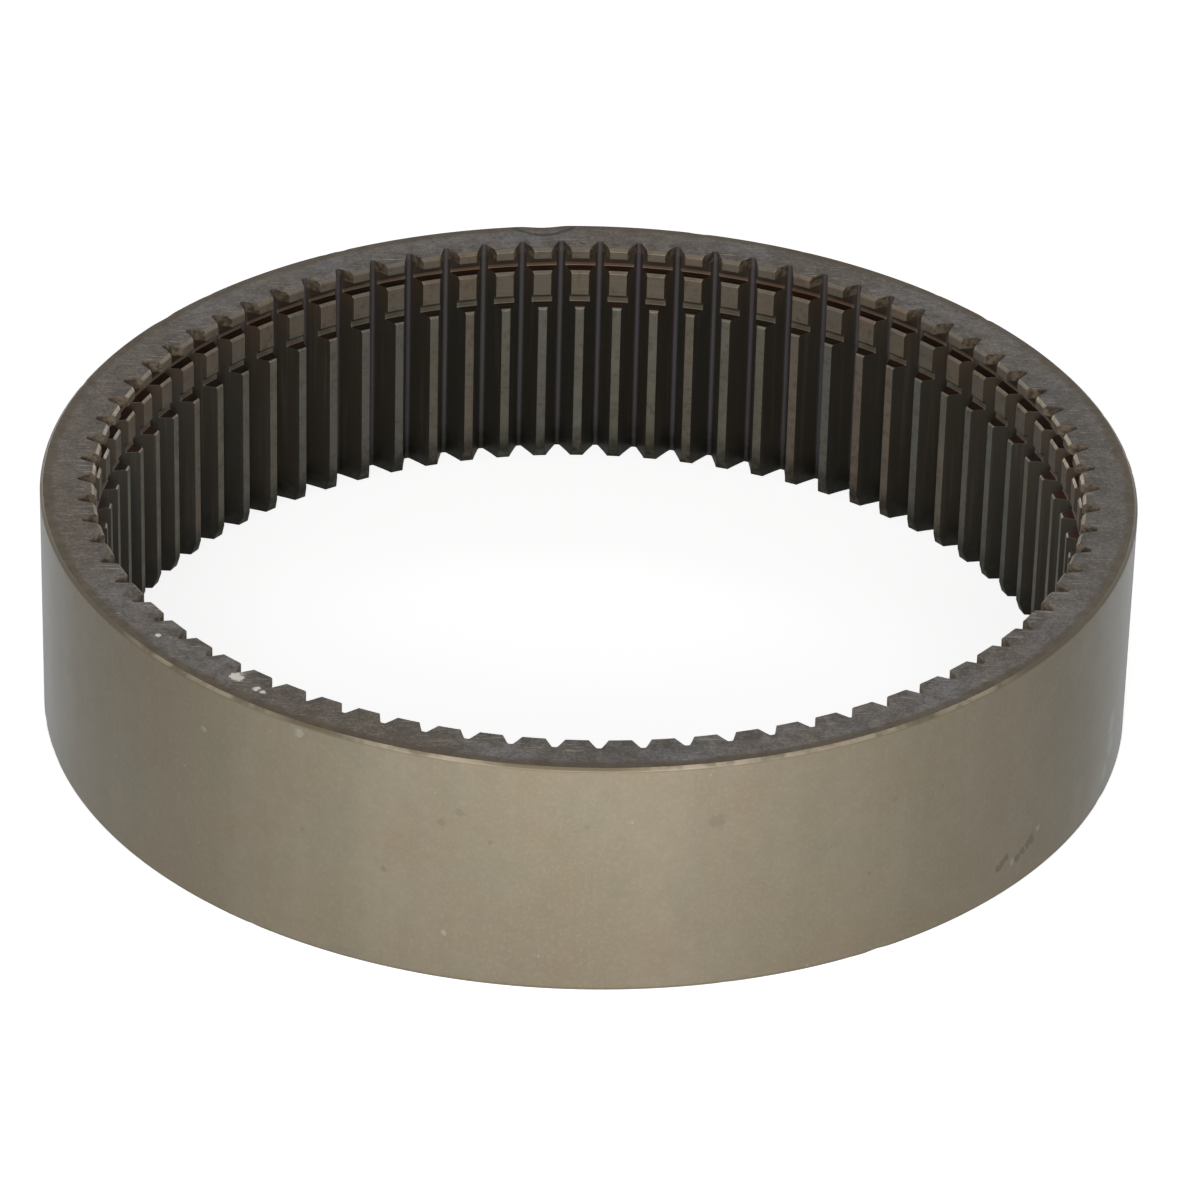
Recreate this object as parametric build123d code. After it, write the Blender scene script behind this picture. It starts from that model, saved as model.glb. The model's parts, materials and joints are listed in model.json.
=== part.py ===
from build123d import *
import math
import os

# Internal ring gear, machined from one steel forging. The outside is a plain cylinder that
# is held in a housing. Inside, the teeth stand at full depth over most of the height. Near
# the upper face they are turned back to short stubs, where a toothed hub seats, and a
# snap-ring groove across the stubs keeps the hub in.
#
# All sizes are in millimetres. The origin is the centre of the lower face, and +Z runs up
# the axis to the face with the stub teeth. A tooth space is centred on +X.

# ---- Driving sizes -------------------------------------------------------------------------

outer_diameter = 256.0
rim_wall = 8.75                   # tooth roots out to the outside
height = 58.2
outer_edge_chamfer = 0.7          # both rims of the outside

# Gear cutting
teeth = 77
pressure_angle = 25.0             # degrees, at the pitch circle
dedendum_ratio = 1.25             # pitch circle out to the roots, in modules
addendum = 2.8                    # pitch circle in to the tooth tips
backlash = 0.02                   # extra width of each tooth space at the pitch circle

# Stub teeth, below the upper face
stub_height = 13.1                # upper face down to the end of the stubs
stub_addendum = 0.3               # pitch circle in to the stub lands
stub_bevel = 0.8                  # 45 degree bevel where the stubs meet the upper face

# Snap-ring groove, across the stubs
groove_drop = 2.9                 # upper face down to the groove
groove_width = 3.5
groove_depth = 3.1                # from the stub lands outwards
groove_edge_chamfer = 0.7         # lower edge of the groove, where the ring is sprung in

# Turning relief between the stubs and the full teeth
relief_width = 2.2
relief_depth = 0.8                # from the stub lands outwards
shoulder_chamfer = 0.45           # upper end of the full teeth

# Lead-in at the lower ends of the full teeth
lead_in_height = 3.2
lead_in_depth = 1.2

# ---- Sizes that follow ---------------------------------------------------------------------

outer_radius = outer_diameter / 2
root_radius = outer_radius - rim_wall
gear_module = root_radius / (teeth / 2 + dedendum_ratio)    # 3 mm
pitch_radius = gear_module * teeth / 2
base_radius = pitch_radius * math.cos(math.radians(pressure_angle))
tip_radius = pitch_radius - addendum
stub_radius = pitch_radius - stub_addendum
groove_radius = stub_radius + groove_depth
relief_radius = stub_radius + relief_depth

groove_top = height - groove_drop
groove_bottom = groove_top - groove_width
stub_bottom = height - stub_height
shoulder = stub_bottom - relief_width

cutter_overrun = 0.5 * gear_module    # how far the cutter reaches past the tips and the faces
flank_stations = 6                    # points of the involute that each flank is drawn through


def ring_blank():
    """The turned blank before gear cutting: half its section, spun about the axis."""
    c = outer_edge_chamfer
    outside = [
        (outer_radius - c, 0),
        (outer_radius, c),
        (outer_radius, height - c),
        (outer_radius - c, height),
    ]
    stub_bore = [
        (stub_radius + stub_bevel, height),
        (stub_radius, height - stub_bevel),
        (stub_radius, groove_top),
        (groove_radius, groove_top),
        (groove_radius, groove_bottom),
        (stub_radius + groove_edge_chamfer, groove_bottom),
        (stub_radius, groove_bottom - groove_edge_chamfer),
        (stub_radius, stub_bottom),
        (relief_radius, stub_bottom),
        (relief_radius, shoulder),
    ]
    tooth_bore = [
        (tip_radius + shoulder_chamfer, shoulder),
        (tip_radius, shoulder - shoulder_chamfer),
        (tip_radius, lead_in_height),
        (tip_radius + lead_in_depth, 0),
    ]
    section = make_face(Polyline(*outside, *stub_bore, *tooth_bore, close=True))
    return revolve(Plane.XZ * section, Axis.Z)


def involute(angle):
    """The involute function of a pressure angle in radians."""
    return math.tan(angle) - angle


def space_half_angle(radius):
    """Half of the angle, in radians, that a tooth space takes up at a radius."""
    half_at_pitch = (math.pi * gear_module / 2 + backlash) / (2 * pitch_radius)
    here = math.acos(base_radius / radius)
    return half_at_pitch + involute(math.radians(pressure_angle)) - involute(here)


def flank_point(radius, side):
    """A point on one involute flank of the tooth space that is centred on +X."""
    angle = side * space_half_angle(radius)
    return Vector(radius * math.cos(angle), radius * math.sin(angle))


def tooth_space():
    """One cutter as tall as the ring: a flat root, two involute flanks and an open inner end."""
    inner_radius = tip_radius - cutter_overrun
    step = (root_radius - inner_radius) / (flank_stations - 1)
    stations = [root_radius - step * index for index in range(flank_stations)]
    left = Spline(*[flank_point(radius, 1) for radius in stations])
    right = Spline(*[flank_point(radius, -1) for radius in stations])
    root = Line(left @ 0, right @ 0)
    inner = Line(left @ 1, right @ 1)
    profile = make_face(Curve() + [root, left, right, inner])
    cutter = extrude(profile, amount=height + 2 * cutter_overrun)
    return Pos(0, 0, -cutter_overrun) * cutter


def ring_gear():
    """The blank with all its tooth spaces cut."""
    cutter = tooth_space()
    pitch = 360 / teeth
    spaces = [Rot(0, 0, pitch * index) * cutter for index in range(teeth)]
    return ring_blank() - spaces


os.makedirs("parts", exist_ok=True)
gear = ring_gear().solid()
gear.label = "ring_gear"
export_step(gear, "parts/ring_gear.step")
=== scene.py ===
import json
import math
import random

import bmesh
import bpy
from mathutils import Matrix, Vector

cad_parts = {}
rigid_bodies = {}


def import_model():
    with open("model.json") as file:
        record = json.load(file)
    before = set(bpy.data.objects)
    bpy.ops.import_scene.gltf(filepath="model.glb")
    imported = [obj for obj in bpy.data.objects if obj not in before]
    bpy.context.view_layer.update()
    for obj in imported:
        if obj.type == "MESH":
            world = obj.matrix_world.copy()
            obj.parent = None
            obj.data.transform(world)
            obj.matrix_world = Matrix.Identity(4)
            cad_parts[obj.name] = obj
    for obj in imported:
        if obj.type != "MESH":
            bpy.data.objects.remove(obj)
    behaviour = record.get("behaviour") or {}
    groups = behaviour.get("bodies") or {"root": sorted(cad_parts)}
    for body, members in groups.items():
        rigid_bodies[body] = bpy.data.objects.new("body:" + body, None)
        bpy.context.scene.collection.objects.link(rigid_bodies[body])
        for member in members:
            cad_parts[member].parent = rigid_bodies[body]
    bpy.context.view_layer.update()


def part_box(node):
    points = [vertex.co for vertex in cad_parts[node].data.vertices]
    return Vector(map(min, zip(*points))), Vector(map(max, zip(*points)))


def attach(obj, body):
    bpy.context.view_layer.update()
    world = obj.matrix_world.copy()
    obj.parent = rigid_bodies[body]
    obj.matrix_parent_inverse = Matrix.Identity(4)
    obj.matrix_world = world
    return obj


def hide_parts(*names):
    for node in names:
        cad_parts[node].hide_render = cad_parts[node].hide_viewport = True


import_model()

scene = bpy.context.scene
scene.view_settings.view_transform = "Standard"


# ---- Camera --------------------------------------------------------------------------------
# A long lens well back from the ring, looking down over its near wall onto the teeth of the
# far wall. The camera is rolled a little, and the ring sits slightly up and left in the frame.

ring_low, ring_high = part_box("ring_gear")
ring_middle = (Vector(ring_low) + Vector(ring_high)) / 2
camera_distance = 1.606
camera_rise = math.radians(30.531)
camera_turn = math.radians(-0.564)
camera_roll = math.radians(1.437)
aim_right = 0.00315      # how far right of the ring's middle it aims, and how far below
aim_down = 0.00347
sensor_width = 36        # in millimetres, as the lens is
lens_length = 204.36

away = Vector((
    math.sin(camera_turn) * math.cos(camera_rise),
    -math.cos(camera_turn) * math.cos(camera_rise),
    math.sin(camera_rise),
))
level_right = Vector((math.cos(camera_turn), math.sin(camera_turn), 0))
level_up = away.cross(level_right)
rolled_right = level_right * math.cos(camera_roll) + level_up * math.sin(camera_roll)
rolled_up = away.cross(rolled_right)
camera_place = ring_middle + away * camera_distance
aim_point = ring_middle + rolled_right * aim_right - rolled_up * aim_down

back_axis = (camera_place - aim_point).normalized()
side_axis = rolled_up.cross(back_axis).normalized()
up_axis = back_axis.cross(side_axis)

camera_data = bpy.data.cameras.new("camera")
camera_data.sensor_width = sensor_width
camera_data.lens = lens_length
camera_data.clip_start = 0.1
camera_data.clip_end = 50
camera = bpy.data.objects.new("camera", camera_data)
camera.matrix_world = Matrix((side_axis, up_axis, back_axis)).transposed().to_4x4()
camera.location = camera_place
scene.collection.objects.link(camera)
scene.camera = camera


# ---- Floor and backdrop --------------------------------------------------------------------
# A plain pale sweep. It shows white to the camera and dimmer in the metal, and the ring's own
# soft shadow stays on it. The room around it is white too, and lights dull surfaces faintly.

floor_reach = 6.0
floor_glow = 0.82        # what the floor gives off by itself to the camera
floor_mirrored = 0.24    # and in reflections
floor_colour = (0.80, 0.80, 0.80, 1)
room_level = 0.11        # how strongly the white room lights dull surfaces


def feed(tree, socket, value):
    """Gives a socket a plain value, or links it from another node's output."""
    if isinstance(value, bpy.types.NodeSocket):
        tree.links.new(value, socket)
    else:
        socket.default_value = value


def add_node(tree, kind, inputs=None, **settings):
    """Adds a node with its settings, and feeds its inputs."""
    node = tree.nodes.new(kind)
    for name, value in settings.items():
        setattr(node, name, value)
    for name, value in (inputs or {}).items():
        feed(tree, node.inputs[name], value)
    return node


def shown(tree, straight, mirrored):
    """One level for what the camera sees straight, another for what it sees in a reflection or
    through glass, and 0 for what only lights other things."""
    path = add_node(tree, "ShaderNodeLightPath")
    indirect = add_node(tree, "ShaderNodeMath", {
        0: path.outputs["Is Glossy Ray"], 1: path.outputs["Is Transmission Ray"]},
        operation="MAXIMUM").outputs[0]
    direct = add_node(tree, "ShaderNodeMath", {
        0: path.outputs["Is Camera Ray"], 1: straight}, operation="MULTIPLY").outputs[0]
    return add_node(tree, "ShaderNodeMath", {0: indirect, 1: mirrored, 2: direct},
                    operation="MULTIPLY_ADD").outputs[0]


bpy.ops.object.select_all(action="DESELECT")
bpy.ops.mesh.primitive_plane_add(size=floor_reach, location=(0, 0, ring_low[2]))
floor = bpy.context.object
floor.name = "floor"
floor_paint = bpy.data.materials.new("pale floor")
floor_paint.use_nodes = True
tree = floor_paint.node_tree
tree.nodes.clear()
dull = add_node(tree, "ShaderNodeBsdfDiffuse", {"Color": floor_colour})
glow = add_node(tree, "ShaderNodeEmission", {
    "Strength": shown(tree, floor_glow, floor_mirrored)})
both = add_node(tree, "ShaderNodeAddShader", {0: dull.outputs[0], 1: glow.outputs[0]})
add_node(tree, "ShaderNodeOutputMaterial", {"Surface": both.outputs[0]})
floor.data.materials.append(floor_paint)

room = bpy.data.worlds.new("white room")
room.use_nodes = True
tree = room.node_tree
tree.nodes.clear()
level = add_node(tree, "ShaderNodeMapRange", {
    "Value": shown(tree, 1.0, 1.0), "To Min": room_level, "To Max": 1.0})
white = add_node(tree, "ShaderNodeBackground", {"Strength": level.outputs["Result"]})
add_node(tree, "ShaderNodeOutputWorld", {"Surface": white.outputs[0]})
scene.world = room


# ---- Studio lamps --------------------------------------------------------------------------
# A low strip before the ring lights its near wall and the floor there. A large soft box stands
# over the camera's left shoulder, two small ones behind the ring pick out the sides of the
# wall, and a strip behind draws a soft line along the top edges.

def soft_box(name, place, width, depth, watts):
    """A soft rectangular lamp that faces the ring."""
    lamp = bpy.data.lights.new(name, "AREA")
    lamp.shape = "RECTANGLE"
    lamp.size = width
    lamp.size_y = depth
    lamp.energy = watts
    box = bpy.data.objects.new(name, lamp)
    box.location = place
    box.rotation_euler = (Vector(place) - ring_middle).to_track_quat("Z", "Y").to_euler()
    box.visible_camera = False
    scene.collection.objects.link(box)


soft_box("front strip", (0.0, -0.36, 0.14), 0.22, 0.1, 0.72)
soft_box("shoulder box", (-0.35, -1.15, 0.95), 0.9, 0.7, 1.8)
soft_box("left rim box", (-0.48, 0.76, 0.25), 0.3, 0.3, 1.3)
soft_box("right rim box", (0.48, 0.76, 0.25), 0.3, 0.3, 1.1)
soft_box("rear strip", (0.15, 1.05, 1.10), 1.4, 0.3, 1.8)


# ---- Ring gear: the form -------------------------------------------------------------------
# One hardened steel ring. It is turned all over, the tooth spaces are broached through it, and
# the teeth are turned back to stubs near the upper face, with a snap-ring groove across them.

outer_radius = ring_high[0]
height = ring_high[2]
rim_wall = 0.00875
outer_edge_chamfer = 0.0007
teeth = 77
pressure_angle = math.radians(25)
dedendum_ratio = 1.25
addendum = 0.0028
backlash = 0.00002
stub_height = 0.0131
stub_addendum = 0.0003
stub_bevel = 0.0008
groove_drop = 0.0029
groove_width = 0.0035
groove_depth = 0.0031
groove_edge_chamfer = 0.0007
relief_width = 0.0022
relief_depth = 0.0008
shoulder_chamfer = 0.00045
lead_in_height = 0.0032
lead_in_depth = 0.0012

pitch = 2 * math.pi / teeth
root_radius = outer_radius - rim_wall
gear_module = root_radius / (teeth / 2 + dedendum_ratio)
pitch_radius = gear_module * teeth / 2
base_radius = pitch_radius * math.cos(pressure_angle)
tip_radius = pitch_radius - addendum
stub_radius = pitch_radius - stub_addendum
groove_radius = stub_radius + groove_depth
relief_radius = stub_radius + relief_depth
groove_top = height - groove_drop
groove_bottom = groove_top - groove_width
stub_bottom = height - stub_height
shoulder = stub_bottom - relief_width

land_spans = 6                 # strips across each tooth
flank_bend = 0.0017            # tooth tips out to the first bend of the drawn flanks
near = 2e-6                    # points closer than this are one point
sharp_edge = 0.14e-3           # width of the broken edges
soft_corner = 0.22e-3          # width of the fillets in the inner corners
corner_turn = math.radians(25)         # an edge that turns by more is a corner
smooth_turn = math.radians(50)         # an edge that turns by less is shaded smooth


def involute(angle):
    """The involute function of a pressure angle."""
    return math.tan(angle) - angle


def tooth_half_angle(radius):
    """Half of the angle that a tooth takes up at a radius."""
    half_space = (math.pi * gear_module / 2 + backlash) / (2 * pitch_radius)
    half_space += involute(pressure_angle) - involute(math.acos(base_radius / radius))
    return pitch / 2 - half_space


def radius_of(point):
    return math.hypot(point.x, point.y)


def angle_of(point):
    return math.atan2(point.y, point.x)


def edit(kind):
    """The edges, faces or points of the mesh in edit mode."""
    mesh = bmesh.from_edit_mesh(bpy.context.edit_object.data)
    items = {"VERT": mesh.verts, "EDGE": mesh.edges, "FACE": mesh.faces}[kind]
    items.ensure_lookup_table()
    return items


def pick(kind, test):
    """Selects the points, edges or faces that pass a test, and nothing else."""
    bpy.ops.mesh.select_mode(type=kind)
    bpy.ops.mesh.select_all(action="DESELECT")
    for item in edit(kind):
        if test(item):
            item.select_set(True)
    bmesh.update_edit_mesh(bpy.context.edit_object.data)


def swing(angle):
    """Turns what is selected about the ring's axis, anticlockwise from above."""
    bpy.ops.transform.rotate(value=-angle, orient_axis="Z", center_override=(0, 0, 0))


def plate_in_section(inner, outer, low, high):
    """Adds a flat plate in the ring's section, between two radii and two heights."""
    middle = ((inner + outer) / 2, 0, (low + high) / 2)
    bpy.ops.mesh.primitive_plane_add(size=1, location=middle, rotation=(math.pi / 2, 0, 0))
    if bpy.context.mode == "OBJECT":
        bpy.ops.object.transform_apply()
        bpy.ops.object.mode_set(mode="EDIT")
    bpy.ops.transform.resize(value=(outer - inner, 1, high - low), center_override=middle)


def cut(place, direction, clear=False):
    """Cuts what is selected along a plane, and may drop the side that the direction points to."""
    bpy.ops.mesh.bisect(plane_co=place, plane_no=direction, clear_outer=clear, threshold=1e-8)


def slant(inner, outer, low, high, place, direction):
    """Cuts a slanted edge across the part of the plate between two radii and two heights."""
    def inside(face):
        middle = face.calc_center_median()
        return inner < middle.x < outer and low < middle.z < high
    pick("FACE", inside)
    cut(place, direction, clear=True)


bpy.ops.object.select_all(action="DESELECT")
plate_in_section(tip_radius, root_radius, 0, height)
gear = bpy.context.object
gear.name = "toothed_ring"

# The section of one tooth
flank_radii = [tip_radius + flank_bend, stub_radius, relief_radius, groove_radius]
levels = [lead_in_height, shoulder, stub_bottom, groove_bottom, groove_top]
for radius in flank_radii:
    bpy.ops.mesh.select_all(action="SELECT")
    cut((radius, 0, 0), (1, 0, 0))
for level_height in levels:
    bpy.ops.mesh.select_all(action="SELECT")
    cut((0, 0, level_height), (0, 0, 1))


def turned_away(face):
    """Picks out what the lathe takes away at the stubs, the groove and the relief."""
    middle = face.calc_center_median()
    stub = middle.z > shoulder and middle.x < stub_radius
    groove = groove_bottom < middle.z < groove_top and middle.x < groove_radius
    relief = shoulder < middle.z < stub_bottom and middle.x < relief_radius
    return stub or groove or relief


pick("FACE", turned_away)
bpy.ops.mesh.delete(type="FACE")
slant(stub_radius, relief_radius, groove_top, height,
      (stub_radius, 0, height - stub_bevel), (-1, 0, 1))
slant(stub_radius, relief_radius, stub_bottom, groove_bottom,
      (stub_radius, 0, groove_bottom - groove_edge_chamfer), (-1, 0, 1))
slant(tip_radius, flank_radii[0], lead_in_height, shoulder,
      (tip_radius, 0, shoulder - shoulder_chamfer), (-1, 0, 1))
slant(tip_radius, flank_radii[0], 0, lead_in_height,
      (tip_radius, 0, lead_in_height), (-lead_in_height, 0, -lead_in_depth))

# The tooth: the section is spun through a small angle and each radius then takes its own width
nominal_step = math.radians(0.1)
first_station = math.radians(5)        # well clear of where the strips end up
bpy.ops.mesh.select_all(action="SELECT")
swing(first_station)
bpy.ops.mesh.spin(steps=land_spans, angle=-land_spans * nominal_step,
                  center=(0, 0, 0), axis=(0, 0, 1))
stations = sorted({round(radius_of(point.co), 6) for point in edit("VERT")})
for radius in stations:
    for strip in range(land_spans, -1, -1):
        start = first_station + strip * nominal_step
        share = 2 * strip / land_spans - 1

        def here(point):
            same_radius = abs(radius_of(point.co) - radius) < near
            return same_radius and abs(angle_of(point.co) - start) < nominal_step / 100
        pick("VERT", here)
        swing(share * tooth_half_angle(radius) - start)


# Half a tooth root on each side of the tooth
def on_back(face):
    return all(radius_of(point.co) > root_radius - near for point in face.verts)


pick("FACE", on_back)
bpy.ops.mesh.delete(type="FACE")
root_half_angle = tooth_half_angle(root_radius)
for side in (-1, 1):
    def root_corner(edge):
        return all(radius_of(point.co) > root_radius - near
                   and abs(angle_of(point.co) - side * root_half_angle) < nominal_step / 100
                   for point in edge.verts)
    pick("EDGE", root_corner)
    bpy.ops.mesh.extrude_region_move()
    swing(side * (pitch / 2 - root_half_angle))

# The rim behind the tooth: a point is drawn round its outline, which is spun over one pitch
margin = 0.0032                # the strips beside the outer edges, where knocks show
rim_outline = [
    (root_radius, 0),
    (outer_radius - margin, 0),
    (outer_radius - outer_edge_chamfer, 0),
    (outer_radius, outer_edge_chamfer),
    (outer_radius, margin),
    (outer_radius, height - margin),
    (outer_radius, height - outer_edge_chamfer),
    (outer_radius - outer_edge_chamfer, height),
    (outer_radius - margin, height),
    (root_radius, height),
]
rim_spans = land_spans + 2
plate_in_section(root_radius, outer_radius, 0, height)
pick("VERT", lambda point: point.co.x > outer_radius - near)
bpy.ops.mesh.delete(type="VERT")
pick("VERT", lambda point: len(point.link_faces) == 0 and point.co.z > near)
bpy.ops.mesh.delete(type="VERT")
pick("VERT", lambda point: len(point.link_edges) == 0)
for (radius, level_height), (next_radius, next_height) in zip(rim_outline, rim_outline[1:]):
    bpy.ops.mesh.extrude_region_move(TRANSFORM_OT_translate={
        "value": (next_radius - radius, 0, next_height - level_height)})
bpy.ops.mesh.select_linked()
swing(-pitch / 2)
bpy.ops.mesh.spin(steps=rim_spans, angle=-pitch, center=(0, 0, 0), axis=(0, 0, 1))
for strip in range(1, rim_spans):
    start = pitch * (strip / rim_spans - 0.5)
    share = 2 * (strip - 1) / land_spans - 1

    def on_inner_line(point):
        return (abs(radius_of(point.co) - root_radius) < near
                and abs(angle_of(point.co) - start) < nominal_step / 100)
    pick("VERT", on_inner_line)
    swing(share * root_half_angle - start)
bpy.ops.mesh.select_all(action="SELECT")
bpy.ops.mesh.remove_doubles(threshold=near)

# All the teeth round the ring, with a tooth space on +X
bpy.ops.mesh.select_all(action="SELECT")
swing(pitch / 2)
bpy.ops.mesh.spin(steps=teeth - 1, dupli=True, angle=2 * math.pi * (teeth - 1) / teeth,
                  center=(0, 0, 0), axis=(0, 0, 1))
bpy.ops.mesh.select_all(action="SELECT")
bpy.ops.mesh.remove_doubles(threshold=near)
bpy.ops.mesh.normals_make_consistent(inside=False)

# Which finish each face has, by where it lies and which way it faces
WALL, END_FACE, FLANK, LAND, GROOVE, BROKEN_EDGE = range(6)


def zone_of(face):
    """The finish of a face of the ring."""
    middle = face.calc_center_median()
    radius = radius_of(middle)
    flat = abs(face.normal.z) > 0.9
    outward = (face.normal.x * middle.x + face.normal.y * middle.y) / radius
    if flat and (middle.z < near or middle.z > height - near):
        return END_FACE
    if outward > 0.3:
        return WALL
    if not flat and abs(outward) < 0.6 and abs(face.normal.z) < 0.2:
        return FLANK
    if not flat and radius > (groove_radius + root_radius) / 2:
        return FLANK
    if middle.z > shoulder - near and (flat or radius > stub_radius + relief_depth / 2) \
            and middle.z < groove_top + near:
        return GROOVE
    return LAND


for face in edit("FACE"):
    face.material_index = zone_of(face)

# Small knocks along both outer edges, and one gouge at the back of the upper edge
knocks = 46
knocks_above = 0.6                     # share of them on the upper edge
knock_reach = (0.0012, 0.0030)         # least and most, as the depth is
knock_depth = (0.00004, 0.00014)
gouge_angle = math.radians(95.3)
gouge_reach = 0.0064
gouge_depth = 0.0003
dents = random.Random(31)
bpy.ops.mesh.select_mode(type="VERT")


def dent(angle, level_height, reach, depth):
    """Pushes an outer edge into the steel near one place on it, fading out over the reach."""
    place = Vector((outer_radius * math.cos(angle), outer_radius * math.sin(angle), level_height))
    side = 1 if level_height < height / 2 else -1
    push = Vector((-math.cos(angle), -math.sin(angle), side)) * depth
    for point in edit("VERT"):
        gap = (point.co - place).length
        if gap < reach:
            point.co += push * (1 - (gap / reach) ** 2) ** 2


for knock in range(knocks):
    above = dents.random() < knocks_above
    dent(dents.uniform(0, 2 * math.pi), height if above else 0,
         dents.uniform(*knock_reach), dents.uniform(*knock_depth))
dent(gouge_angle, height, gouge_reach, gouge_depth)


# Broken edges and small fillets
def is_corner(turn):
    """Picks out the corners that turn one way: 1 outwards, -1 inwards."""
    return lambda edge: edge.calc_face_angle_signed(0) * turn > corner_turn


pick("EDGE", is_corner(1))
bpy.ops.mesh.bevel(offset=sharp_edge, segments=2, affect="EDGES", clamp_overlap=False,
                   material=BROKEN_EDGE)
pick("EDGE", is_corner(-1))
bpy.ops.mesh.bevel(offset=soft_corner, segments=2, affect="EDGES", clamp_overlap=False)
bpy.ops.mesh.select_all(action="SELECT")
bpy.ops.mesh.remove_doubles(threshold=near)
bpy.ops.mesh.dissolve_degenerate(threshold=near)
bpy.ops.mesh.normals_make_consistent(inside=False)
bpy.ops.object.mode_set(mode="OBJECT")
bpy.ops.object.shade_smooth_by_angle(angle=smooth_turn)
weighted = gear.modifiers.new("even shading", "WEIGHTED_NORMAL")
weighted.keep_sharp = True
bpy.ops.object.modifier_apply(modifier=weighted.name)


# ---- Ring gear: shared surface effects -----------------------------------------------------
# Marks that several of the finishes share. Cutting tools leave fine lines, handling leaves
# scratches and bright edges, and storage leaves oil stains and a little rust.

def effect(name, inputs, outputs):
    """A shader node group with named inputs and outputs: its tree, and what goes in and out."""
    group = bpy.data.node_groups.new(name, "ShaderNodeTree")
    kinds = {float: "NodeSocketFloat", tuple: "NodeSocketVector"}
    for socket_name, value in inputs.items():
        socket = group.interface.new_socket(
            name=socket_name, in_out="INPUT", socket_type=kinds[type(value)])
        socket.default_value = value
    for socket_name in outputs:
        group.interface.new_socket(
            name=socket_name, in_out="OUTPUT", socket_type="NodeSocketFloat")
    given = group.nodes.new("NodeGroupInput").outputs
    return group, given, group.nodes.new("NodeGroupOutput").inputs


def math_node(tree, operation, first, second=0.0, third=0.0):
    """The result of one sum on plain values or outputs."""
    inputs = {0: first, 1: second, 2: third}
    return add_node(tree, "ShaderNodeMath", inputs, operation=operation).outputs[0]


def fade(tree, value, low, high, to_low=0.0, to_high=1.0):
    """A soft step: to_low below the low end, to_high above the high end."""
    return add_node(tree, "ShaderNodeMapRange", {
        "Value": value, "From Min": low, "From Max": high, "To Min": to_low, "To Max": to_high},
        interpolation_type="SMOOTHSTEP").outputs["Result"]


def noise(tree, point, scale, detail=3.0, roughness=0.55):
    """Cloudy noise, mostly between 0.3 and 0.7. The scale is in waves per metre."""
    return add_node(tree, "ShaderNodeTexNoise", {
        "Vector": point, "Scale": scale, "Detail": detail, "Roughness": roughness}).outputs[0]


# Cloudy stains: soft patches with broken edges
stain_effect, given, result = effect(
    "cloudy stains", {"Point": (0, 0, 0), "Scale": 30.0, "Softness": 0.15}, ["Mask"])
clouds = noise(stain_effect, given["Point"], given["Scale"], 5.0, 0.62)
clear = math_node(stain_effect, "SUBTRACT", 0.5, given["Softness"])
stained = math_node(stain_effect, "ADD", 0.5, given["Softness"])
feed(stain_effect, result["Mask"], fade(stain_effect, clouds, clear, stained))

# Tool marks: fine uneven lines along one direction of cut
mark_effect, given, result = effect(
    "tool marks", {"Across": 0.0, "Point": (0, 0, 0), "Spacing": 0.0003}, ["Lines"])
steps = math_node(mark_effect, "DIVIDE", given["Across"], given["Spacing"])
lines = add_node(mark_effect, "ShaderNodeTexNoise", {"W": steps, "Scale": 1.0, "Detail": 3.0},
                 noise_dimensions="1D").outputs[0]
lines = math_node(mark_effect, "SUBTRACT", lines, 0.5)
wander = math_node(mark_effect, "ADD", noise(mark_effect, given["Point"], 55.0, 2.0), 0.4)
feed(mark_effect, result["Lines"], math_node(mark_effect, "MULTIPLY", lines, wander))

# Scratches: short thin lines that lie in two directions
scratch_effect, given, result = effect(
    "scratches", {"Point": (0, 0, 0), "Scale": 60.0, "Amount": 0.5}, ["Mask"])
strokes = []
for turn, stretch in ((0.6, 22.0), (-1.1, 16.0)):
    turned = add_node(scratch_effect, "ShaderNodeMapping", {
        "Vector": given["Point"], "Rotation": (0.3, turn, turn * 1.7),
        "Scale": (1, stretch, 1)}).outputs[0]
    strokes.append(noise(scratch_effect, turned, given["Scale"], 2.0, 0.4))
strongest = math_node(scratch_effect, "MAXIMUM", strokes[0], strokes[1])
fewer = math_node(scratch_effect, "MULTIPLY", given["Amount"], 0.16)
limit = math_node(scratch_effect, "SUBTRACT", 0.80, fewer)
full = math_node(scratch_effect, "ADD", limit, 0.04)
feed(scratch_effect, result["Mask"], fade(scratch_effect, strongest, limit, full))

# Specks: small round spots, few and far between
speck_effect, given, result = effect(
    "specks", {"Point": (0, 0, 0), "Scale": 250.0, "Size": 0.2, "Share": 0.1}, ["Mask"])
cells = add_node(speck_effect, "ShaderNodeTexVoronoi", {
    "Vector": given["Point"], "Scale": given["Scale"]})
chance = add_node(speck_effect, "ShaderNodeSeparateColor", {0: cells.outputs["Color"]})
chosen = math_node(speck_effect, "LESS_THAN", chance.outputs[0], given["Share"])
spot = fade(speck_effect, cells.outputs["Distance"],
            math_node(speck_effect, "MULTIPLY", given["Size"], 0.4), given["Size"], 1.0, 0.0)
feed(speck_effect, result["Mask"], math_node(speck_effect, "MULTIPLY", chosen, spot))


def turn_of(tree, point):
    """The angle about the ring's axis, in radians, from +X."""
    sides = add_node(tree, "ShaderNodeSeparateXYZ", {0: point}).outputs
    return math_node(tree, "ARCTAN2", sides[1], sides[0])


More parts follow.
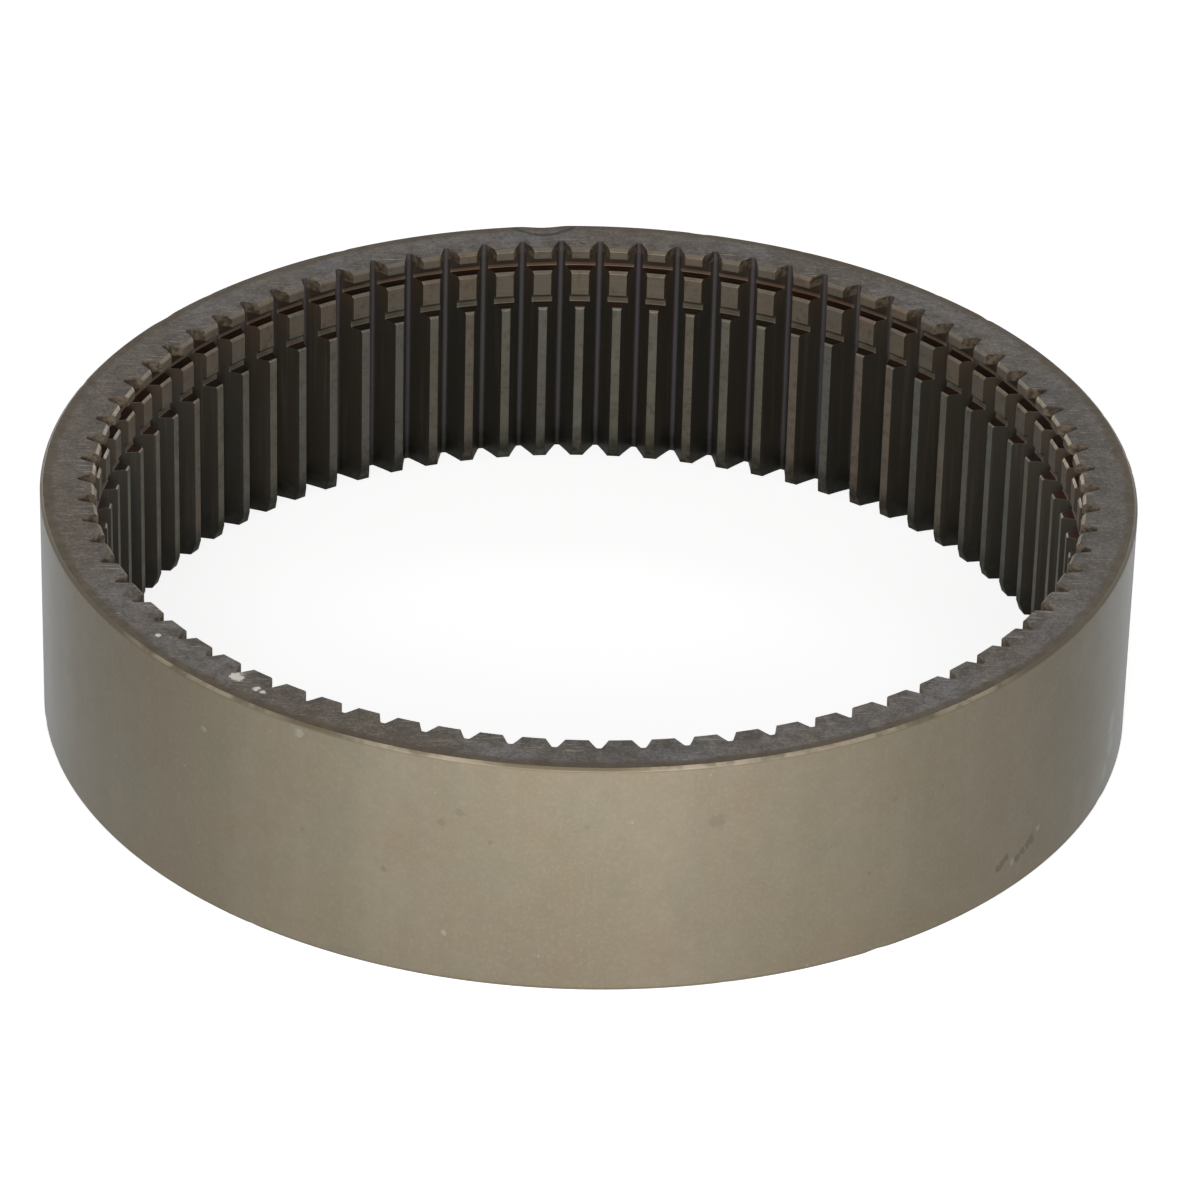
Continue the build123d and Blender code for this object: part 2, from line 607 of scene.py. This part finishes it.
# By tooth: a random value that is the same all over each tooth
tooth_effect, given, result = effect("by tooth", {"Point": (0, 0, 0), "Seed": 1.0}, ["Value"])
pitches = math_node(tooth_effect, "DIVIDE", turn_of(tooth_effect, given["Point"]), pitch)
tooth = math_node(tooth_effect, "FLOOR", pitches)
seeded = math_node(tooth_effect, "MULTIPLY_ADD", given["Seed"], 100.0, tooth)
chance = add_node(tooth_effect, "ShaderNodeTexWhiteNoise", {"W": seeded}, noise_dimensions="1D")
feed(tooth_effect, result["Value"], chance.outputs["Value"])

# A patch: one mark at a known place, with an uneven outline
patch_effect, given, result = effect(
    "patch", {"Point": (0, 0, 0), "Centre": (0, 0, 0), "Reach": 0.002}, ["Mask"])
ragged = math_node(patch_effect, "SUBTRACT", noise(patch_effect, given["Point"], 900.0), 0.5)
ragged = math_node(patch_effect, "MULTIPLY", ragged, 1.6)
apart = add_node(patch_effect, "ShaderNodeVectorMath", {
    0: given["Point"], 1: given["Centre"]}, operation="DISTANCE").outputs["Value"]
apart = math_node(patch_effect, "DIVIDE", apart, given["Reach"])
apart = math_node(patch_effect, "ADD", apart, ragged)
feed(patch_effect, result["Mask"], fade(patch_effect, apart, 0.55, 1.0, 1.0, 0.0))


def use(tree, group, inputs):
    """Places a shared effect in a material, and gives its output."""
    return add_node(tree, "ShaderNodeGroup", inputs, node_tree=group).outputs[0]


def tint(tree, mask, under, over, strength=1.0):
    """Lays one colour over another by a mask, at no more than the given strength."""
    amount = mask if strength == 1.0 else math_node(tree, "MULTIPLY", mask, strength)
    return add_node(tree, "ShaderNodeMix", {0: amount, 6: under, 7: over},
                    data_type="RGBA").outputs[2]


def rgb(red, green, blue):
    """A colour from its 0 to 255 display values."""
    def linear(part):
        part /= 255
        return part / 12.92 if part <= 0.04045 else ((part + 0.055) / 1.055) ** 2.4
    return (linear(red), linear(green), linear(blue), 1)


def steel(name):
    """A new steel material, with its tree, shader, surface point, radius and height."""
    material = bpy.data.materials.new(name)
    material.use_nodes = True
    tree = material.node_tree
    tree.nodes.clear()
    shader = add_node(tree, "ShaderNodeBsdfPrincipled")
    add_node(tree, "ShaderNodeOutputMaterial", {"Surface": shader.outputs[0]})
    point = add_node(tree, "ShaderNodeTexCoord").outputs["Object"]
    parts = add_node(tree, "ShaderNodeSeparateXYZ", {0: point})
    flat_point = add_node(tree, "ShaderNodeCombineXYZ", {
        0: parts.outputs[0], 1: parts.outputs[1]}).outputs[0]
    radius = add_node(tree, "ShaderNodeVectorMath", {0: flat_point},
                      operation="LENGTH").outputs["Value"]
    return material, tree, shader, point, radius, parts.outputs[2]


def finish_steel(tree, shader, colour, metal, roughness, relief, depth):
    """Links colour, metal and roughness, and a bump of the given depth in metres."""
    for name, value in (("Base Color", colour), ("Metallic", metal), ("Roughness", roughness)):
        feed(tree, shader.inputs[name], value)
    bump = add_node(tree, "ShaderNodeBump", {"Height": relief, "Distance": depth, "Strength": 1.0})
    feed(tree, shader.inputs["Normal"], bump.outputs[0])


def marks(tree, point, places):
    """A mask of patches, each given by its angle in degrees, radius, height and reach."""
    mask = 0.0
    for angle, radius, level_height, reach in places:
        turn = math.radians(angle)
        centre = (radius * math.cos(turn), radius * math.sin(turn), level_height)
        mask = math_node(tree, "MAXIMUM", mask, use(tree, patch_effect, {
            "Point": point, "Centre": centre, "Reach": reach}))
    return mask


def wall_marks(tree, point, places):
    """Marks on the outside, each given by its angle in degrees, height and reach."""
    return marks(tree, point, [
        (angle, outer_radius, level_height, reach) for angle, level_height, reach in places])


def face_marks(tree, point, places):
    """Marks on the upper face, each given by its angle, distance in from its rim and reach."""
    return marks(tree, point, [
        (angle, outer_radius - inset, height, reach) for angle, inset, reach in places])


# ---- Ring gear: the outside ----------------------------------------------------------------
# The outside is finish turned and left with the olive-grey skin of heat treatment. It has soft
# upright bands, faint oil stains and specks under a thin dry bloom, and dark lines along its
# edges, which are rubbed pale in places at the top.

wall_steel, tree, shader, point, _, level_height = steel("satin outside")
tall_point = add_node(tree, "ShaderNodeMapping", {
    "Vector": point, "Scale": (1, 1, 0.06)}).outputs[0]
bands = fade(tree, noise(tree, tall_point, 60.0), 0.35, 0.65)
stains = use(tree, stain_effect, {"Point": point, "Scale": 26.0, "Softness": 0.2})
mottle = fade(tree, noise(tree, point, 260.0, 5.0, 0.65), 0.35, 0.65)
fine = noise(tree, point, 1100.0)
streaks = fade(tree, noise(tree, tall_point, 240.0), 0.40, 0.62)
hue = noise(tree, point, 55.0)
colour = tint(tree, bands, rgb(143, 133, 113), rgb(149, 139, 120))
colour = tint(tree, fade(tree, hue, 0.52, 0.66, 0.0, 0.3), colour, rgb(148, 130, 106))
colour = tint(tree, fade(tree, hue, 0.34, 0.46, 0.3, 0.0), colour, rgb(136, 134, 115))
colour = tint(tree, stains, colour, rgb(127, 112, 89), 0.22)
colour = tint(tree, mottle, colour, rgb(126, 118, 99), 0.22)
colour = tint(tree, streaks, colour, rgb(122, 116, 100), 0.14)
colour = tint(tree, fade(tree, fine, 0.45, 0.75, 0.0, 0.22), colour, rgb(168, 158, 139))
pale = use(tree, speck_effect, {"Point": point, "Scale": 300.0, "Size": 0.16, "Share": 0.04})
colour = tint(tree, pale, colour, rgb(186, 178, 158), 0.3)
dark = use(tree, speck_effect, {"Point": point, "Scale": 190.0, "Size": 0.16, "Share": 0.05})
colour = tint(tree, dark, colour, rgb(96, 86, 68), 0.22)

# Marks at known places: a dark smear low on the right, dark spots, and pale rubs
smear = wall_marks(tree, point, (
    (-37.3, 0.0102, 0.0016), (-38.1, 0.0094, 0.0013), (-38.8, 0.0086, 0.0014),
    (-39.7, 0.0077, 0.0014), (-41.6, 0.0097, 0.0013), (-42.2, 0.0088, 0.0013),
    (-42.8, 0.0080, 0.0012)))
colour = tint(tree, smear, colour, rgb(92, 76, 58), 0.5)
spots = wall_marks(tree, point, (
    (-102.5, 0.0446, 0.0013), (-104.4, 0.0412, 0.0012), (-110.4, 0.0262, 0.0011),
    (-77.0, 0.0436, 0.0022)))
colour = tint(tree, spots, colour, rgb(100, 88, 70), 0.25)
rubs = wall_marks(tree, point, (
    (-17.2, 0.0174, 0.0034), (-17.3, 0.0113, 0.0034), (-19.3, 0.0068, 0.0026),
    (-131.7, 0.0464, 0.0010), (-119.7, 0.0555, 0.0014), (-104.0, 0.0125, 0.0009),
    (-36.2, 0.0120, 0.0011), (-40.6, 0.0074, 0.0011)))
colour = tint(tree, rubs, colour, rgb(188, 186, 174), 0.35)

# Both edges carry a dark line, and the upper one is rubbed pale along four stretches
worn_stretches = ((-133, 10), (-107, 7), (-70, 14), (-48, 5))    # middle and half, in degrees
worn_end = 4                   # degrees that each end fades over, on either side
off_middle = math_node(tree, "ABSOLUTE", math_node(tree, "SUBTRACT", level_height, height / 2))
from_edge = math_node(tree, "SUBTRACT", height / 2, off_middle)
at_edge = fade(tree, from_edge, 0.0004, 0.0013, 1.0, 0.0)
colour = tint(tree, at_edge, colour, rgb(92, 80, 58), 0.75)
turn = turn_of(tree, point)
worn = 0.0
for middle, half in worn_stretches:
    off = math_node(tree, "ABSOLUTE", math_node(tree, "SUBTRACT", turn, math.radians(middle)))
    worn = math_node(tree, "MAXIMUM", worn, fade(
        tree, off, math.radians(half - worn_end), math.radians(half + worn_end), 1.0, 0.0))
rubbed = fade(tree, noise(tree, point, 220.0), 0.36, 0.60, 0.15, 0.8)
thin = math_node(tree, "MULTIPLY", fade(tree, from_edge, 0.0005, 0.0010, 1.0, 0.0),
                 fade(tree, level_height, height - 0.003, height - 0.002))
rubbed = math_node(tree, "MULTIPLY", worn, rubbed)
rubbed = math_node(tree, "MULTIPLY", rubbed, thin)
colour = tint(tree, rubbed, colour, rgb(172, 160, 138))

roughness = math_node(tree, "ADD", 0.47, math_node(tree, "MULTIPLY", stains, 0.1))
turned = use(tree, mark_effect, {"Across": level_height, "Point": point, "Spacing": 0.00035})
relief = math_node(tree, "ADD", turned, math_node(tree, "MULTIPLY", fine, 0.5))
finish_steel(tree, shader, colour, 0.45, roughness, relief, 0.00001)
shader.inputs["Sheen Weight"].default_value = 0.65
shader.inputs["Sheen Roughness"].default_value = 0.3
shader.inputs["Sheen Tint"].default_value = rgb(232, 240, 246)


# ---- Ring gear: the end faces --------------------------------------------------------------
# Both end faces are faced off on a lathe and carry fine rings. They are a darker, mottled grey,
# with burrs beside the tooth spaces and brown oil along the outer edge. The upper one also has
# a few pale chips and a curved gouge.

face_steel, tree, shader, point, radius, _ = steel("turned end face")
stains = use(tree, stain_effect, {"Point": point, "Scale": 36.0, "Softness": 0.2})
blots = use(tree, stain_effect, {"Point": point, "Scale": 300.0, "Softness": 0.16})
scuffs = use(tree, scratch_effect, {"Point": point, "Scale": 150.0, "Amount": 0.8})
turned = use(tree, mark_effect, {"Across": radius, "Point": point, "Spacing": 0.00022})
grain = noise(tree, point, 1500.0, 4.0, 0.7)
colour = tint(tree, stains, rgb(98, 97, 98), rgb(95, 86, 76))
browned = face_marks(tree, point, (
    (176.0, 0.004, 0.070), (-116.0, 0.004, 0.034), (152.0, 0.004, 0.022), (62.0, 0.005, 0.020)))
colour = tint(tree, browned, colour, rgb(82, 68, 51), 0.6)
dulled = face_marks(tree, point, ((4.0, 0.004, 0.072), (-88.0, 0.005, 0.020)))
colour = tint(tree, dulled, colour, rgb(72, 68, 64), 0.5)
by_teeth = fade(tree, radius, root_radius - 0.001, root_radius + 0.002, 1.0, 0.5)
colour = tint(tree, math_node(tree, "MULTIPLY", blots, by_teeth), colour, rgb(70, 64, 57))
colour = tint(tree, math_node(tree, "MULTIPLY", scuffs, by_teeth), colour, rgb(142, 132, 118))
colour = tint(tree, fade(tree, grain, 0.36, 0.50, 0.5, 0.0), colour, rgb(54, 50, 46))
colour = tint(tree, fade(tree, grain, 0.52, 0.66, 0.0, 0.28), colour, rgb(136, 130, 122))
shifted = math_node(tree, "MULTIPLY_ADD", noise(tree, point, 160.0, 4.0, 0.6), 0.004, radius)
oiled = fade(tree, shifted, outer_radius - 0.0016, outer_radius - 0.0002)
colour = tint(tree, oiled, colour, rgb(72, 60, 42), 0.75)

# Chips at the front left, and the gouge: a shallow curve whose ends lie nearer the rim
chips = face_marks(tree, point, (
    (-130.1, 0.0072, 0.0021), (-127.0, 0.0061, 0.0011), (-126.1, 0.0060, 0.0009),
    (-142.1, 0.0058, 0.0008)))
colour = tint(tree, chips, colour, rgb(208, 202, 192), 0.85)
gouge_half_angle = math.radians(3.6)
gouge_inset = 0.0060           # its middle, in from the rim
gouge_bow = 0.0042             # how much nearer the rim its ends are
gouge_wander = 0.0012          # how far its line strays
gouge_turn = math_node(tree, "DIVIDE", math_node(
    tree, "SUBTRACT", turn_of(tree, point), gouge_angle), gouge_half_angle)
bow = math_node(tree, "MULTIPLY_ADD", math_node(
    tree, "MULTIPLY", gouge_turn, gouge_turn), gouge_bow, outer_radius - gouge_inset)
line = math_node(tree, "MULTIPLY_ADD", noise(tree, point, 700.0), gouge_wander, bow)
off_line = math_node(tree, "ABSOLUTE", math_node(tree, "SUBTRACT", radius, line))
along = fade(tree, math_node(tree, "ABSOLUTE", gouge_turn), 0.9, 1.1, 1.0, 0.0)
gouge = math_node(tree, "MULTIPLY", fade(tree, off_line, 0.0003, 0.0009, 1.0, 0.0), along)
colour = tint(tree, gouge, colour, rgb(40, 37, 34), 0.85)

roughness = math_node(tree, "ADD", 0.42, math_node(tree, "MULTIPLY", blots, 0.14))
relief = math_node(tree, "ADD", turned, math_node(tree, "MULTIPLY", blots, 0.6))
finish_steel(tree, shader, colour, 0.75, roughness, relief, 0.00002)


# ---- Ring gear: the tooth flanks and roots -------------------------------------------------
# Broached from end to end, then hardened dark and oiled. Fine marks run the length of the
# teeth. The flanks are browner where the hub has worked on the stubs. A painted light makes them
# paler in patches above the groove, and a painted shade darkens them toward the foot.

flank_steel, tree, shader, point, radius, level_height = steel("broached flank")
long_point = add_node(tree, "ShaderNodeMapping", {
    "Vector": point, "Scale": (1, 1, 0.03)}).outputs[0]
strokes = noise(tree, long_point, 900.0)
stains = use(tree, stain_effect, {"Point": point, "Scale": 90.0, "Softness": 0.2})
each = use(tree, tooth_effect, {"Point": point, "Seed": 2.0})
colour = tint(tree, stains, rgb(72, 68, 58), rgb(64, 62, 56))
colour = tint(tree, each, colour, rgb(78, 66, 54), 0.5)
patchy = fade(tree, noise(tree, point, 600.0, 4.0, 0.6), 0.38, 0.62)
on_stub = fade(tree, level_height, shoulder - 0.001, groove_bottom, 0.0, 0.6)
colour = tint(tree, on_stub, colour, rgb(92, 76, 60))
# Painted light: the flanks are paler in patches above the groove, where light from the front and
# above reaches into the tooth spaces.
painted_top_light = math_node(tree, "MULTIPLY", patchy, fade(
    tree, level_height, groove_top - 0.0004, groove_top + 0.0006, 0.0, 0.75))
colour = tint(tree, painted_top_light, colour, rgb(150, 134, 114))
in_root = fade(tree, radius, groove_radius + 0.0003, root_radius - 0.0001, 0.0, 0.8)
root_skin = tint(tree, each, rgb(92, 92, 90), rgb(86, 78, 88))
colour = tint(tree, in_root, colour, root_skin)
colour = tint(tree, fade(tree, strokes, 0.5, 0.75, 0.0, 0.3), colour, rgb(110, 102, 88))
# Painted shade: the flanks darken, in mottled patches, toward the lower ends of the teeth.
painted_foot_shade = math_node(tree, "MULTIPLY", fade(tree, level_height, 0.0015, 0.010, 0.9, 0.0), fade(
    tree, noise(tree, point, 420.0, 4.0), 0.3, 0.6, 0.45, 1.0))
colour = tint(tree, painted_foot_shade, colour, rgb(34, 34, 25))
roughness = math_node(tree, "ADD", 0.40, math_node(tree, "MULTIPLY", stains, 0.15))
finish_steel(tree, shader, colour, 0.35, roughness, strokes, 0.00002)


# ---- Ring gear: the tooth lands ------------------------------------------------------------
# The bore of the teeth is turned, so each land carries fine lines across it. They have the
# same olive-grey skin as the outside, no two quite alike, and a painted shade darkens their lower
# ends.

land_steel, tree, shader, point, _, level_height = steel("turned land")
stains = use(tree, stain_effect, {"Point": point, "Scale": 130.0, "Softness": 0.2})
turned = use(tree, mark_effect, {"Across": level_height, "Point": point, "Spacing": 0.00025})
warm = use(tree, tooth_effect, {"Point": point, "Seed": 3.0})
cool = use(tree, tooth_effect, {"Point": point, "Seed": 4.0})
colour = tint(tree, stains, rgb(133, 128, 113), rgb(116, 110, 94))
colour = tint(tree, fade(tree, warm, 0.3, 1.0, 0.0, 0.65), colour, rgb(136, 114, 98))
colour = tint(tree, fade(tree, cool, 0.3, 1.0, 0.0, 0.65), colour, rgb(106, 113, 108))
on_stub = fade(tree, level_height, stub_bottom - 0.001, stub_bottom, 0.0, 0.5)
colour = tint(tree, on_stub, colour, rgb(126, 106, 86))
along = noise(tree, point, 70.0, 2.0)
colour = tint(tree, fade(tree, along, 0.42, 0.62, 0.0, 0.45), colour, rgb(112, 110, 100))
colour = tint(tree, fade(tree, noise(tree, point, 500.0, 4.0, 0.6), 0.5, 0.66, 0.0, 0.4),
              colour, rgb(84, 76, 64))
colour = tint(tree, fade(tree, turned, 0.0, 0.25, 0.0, 0.3), colour, rgb(156, 148, 132))
# Painted shade: the lands darken, in mottled patches, toward their lower ends.
painted_foot_shade = math_node(tree, "MULTIPLY", fade(tree, level_height, 0.0018, 0.011, 0.95, 0.0), fade(
    tree, noise(tree, point, 420.0, 4.0), 0.3, 0.6, 0.5, 1.0))
colour = tint(tree, painted_foot_shade, colour, rgb(48, 47, 34))
roughness = math_node(tree, "ADD", 0.40, math_node(tree, "MULTIPLY", stains, 0.12))
finish_steel(tree, shader, colour, 0.6, roughness, turned, 0.00003)


# ---- Ring gear: the snap-ring groove and the relief ----------------------------------------
# Plunge turned across the stub teeth. The walls stay pale, apart from a painted shade in the
# corner under each lip, and old oil and a little rust lie on the ledges, which face up.

groove_steel, tree, shader, point, _, level_height = steel("turned groove")
rust = use(tree, stain_effect, {"Point": point, "Scale": 30.0, "Softness": 0.15})
turned = use(tree, mark_effect, {"Across": level_height, "Point": point, "Spacing": 0.00025})
facing = add_node(tree, "ShaderNodeSeparateXYZ", {
    0: add_node(tree, "ShaderNodeTexCoord").outputs["Normal"]}).outputs[2]
ledge = fade(tree, facing, 0.4, 0.9)
in_relief = math_node(tree, "LESS_THAN", level_height, stub_bottom + near)
colour = tint(tree, rust, rgb(124, 106, 88), rgb(112, 74, 52), 0.5)
colour = tint(tree, in_relief, colour, rgb(116, 108, 92))
# Painted shade: a dark band on the upper part of each groove wall under its lip, and on the relief
# wall under each stub.
painted_shade_under_lip = fade(tree, level_height, groove_top - 0.0029, groove_top - 0.0024)
painted_shade_under_stub = math_node(tree, "MULTIPLY", in_relief, fade(
    tree, level_height, stub_bottom - 0.0011, stub_bottom - 0.0006))
painted_lip_shade = math_node(tree, "MAXIMUM", painted_shade_under_lip, painted_shade_under_stub)
colour = tint(tree, painted_lip_shade, colour, rgb(40, 32, 24), 0.85)
colour = tint(tree, ledge, colour, tint(tree, rust, rgb(34, 26, 18), rgb(64, 32, 18)))
finish_steel(tree, shader, colour, 0.4, 0.45, turned, 0.00003)


# ---- Ring gear: the broken edges -----------------------------------------------------------
# Every outward corner is broken with a file or brush, and rubs bright where the skin has gone.

edge_steel, tree, shader, point, radius, level_height = steel("broken edge")
bare = use(tree, stain_effect, {"Point": point, "Scale": 240.0, "Softness": 0.15})
outside = fade(tree, radius, root_radius, root_radius + 0.002)
skin = tint(tree, outside, rgb(84, 79, 69), rgb(118, 108, 90))
# Painted shade: the inner edges darken toward the lower ends of the teeth.
painted_foot_shade = fade(tree, level_height, 0.0018, 0.011, 0.8, 0.0)
painted_foot_shade = math_node(tree, "MULTIPLY", painted_foot_shade, math_node(tree, "SUBTRACT", 1.0, outside))
skin = tint(tree, painted_foot_shade, skin, rgb(40, 40, 30))
bright = fade(tree, level_height, 0.002, 0.012, 0.2, 0.7)
colour = tint(tree, math_node(tree, "MULTIPLY", bare, bright), skin, rgb(146, 138, 122))
finish_steel(tree, shader, colour, 0.6, 0.40, bare, 0.00001)

for finish in (wall_steel, face_steel, flank_steel, land_steel, groove_steel, edge_steel):
    gear.data.materials.append(finish)

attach(gear, "root")
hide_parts("ring_gear")
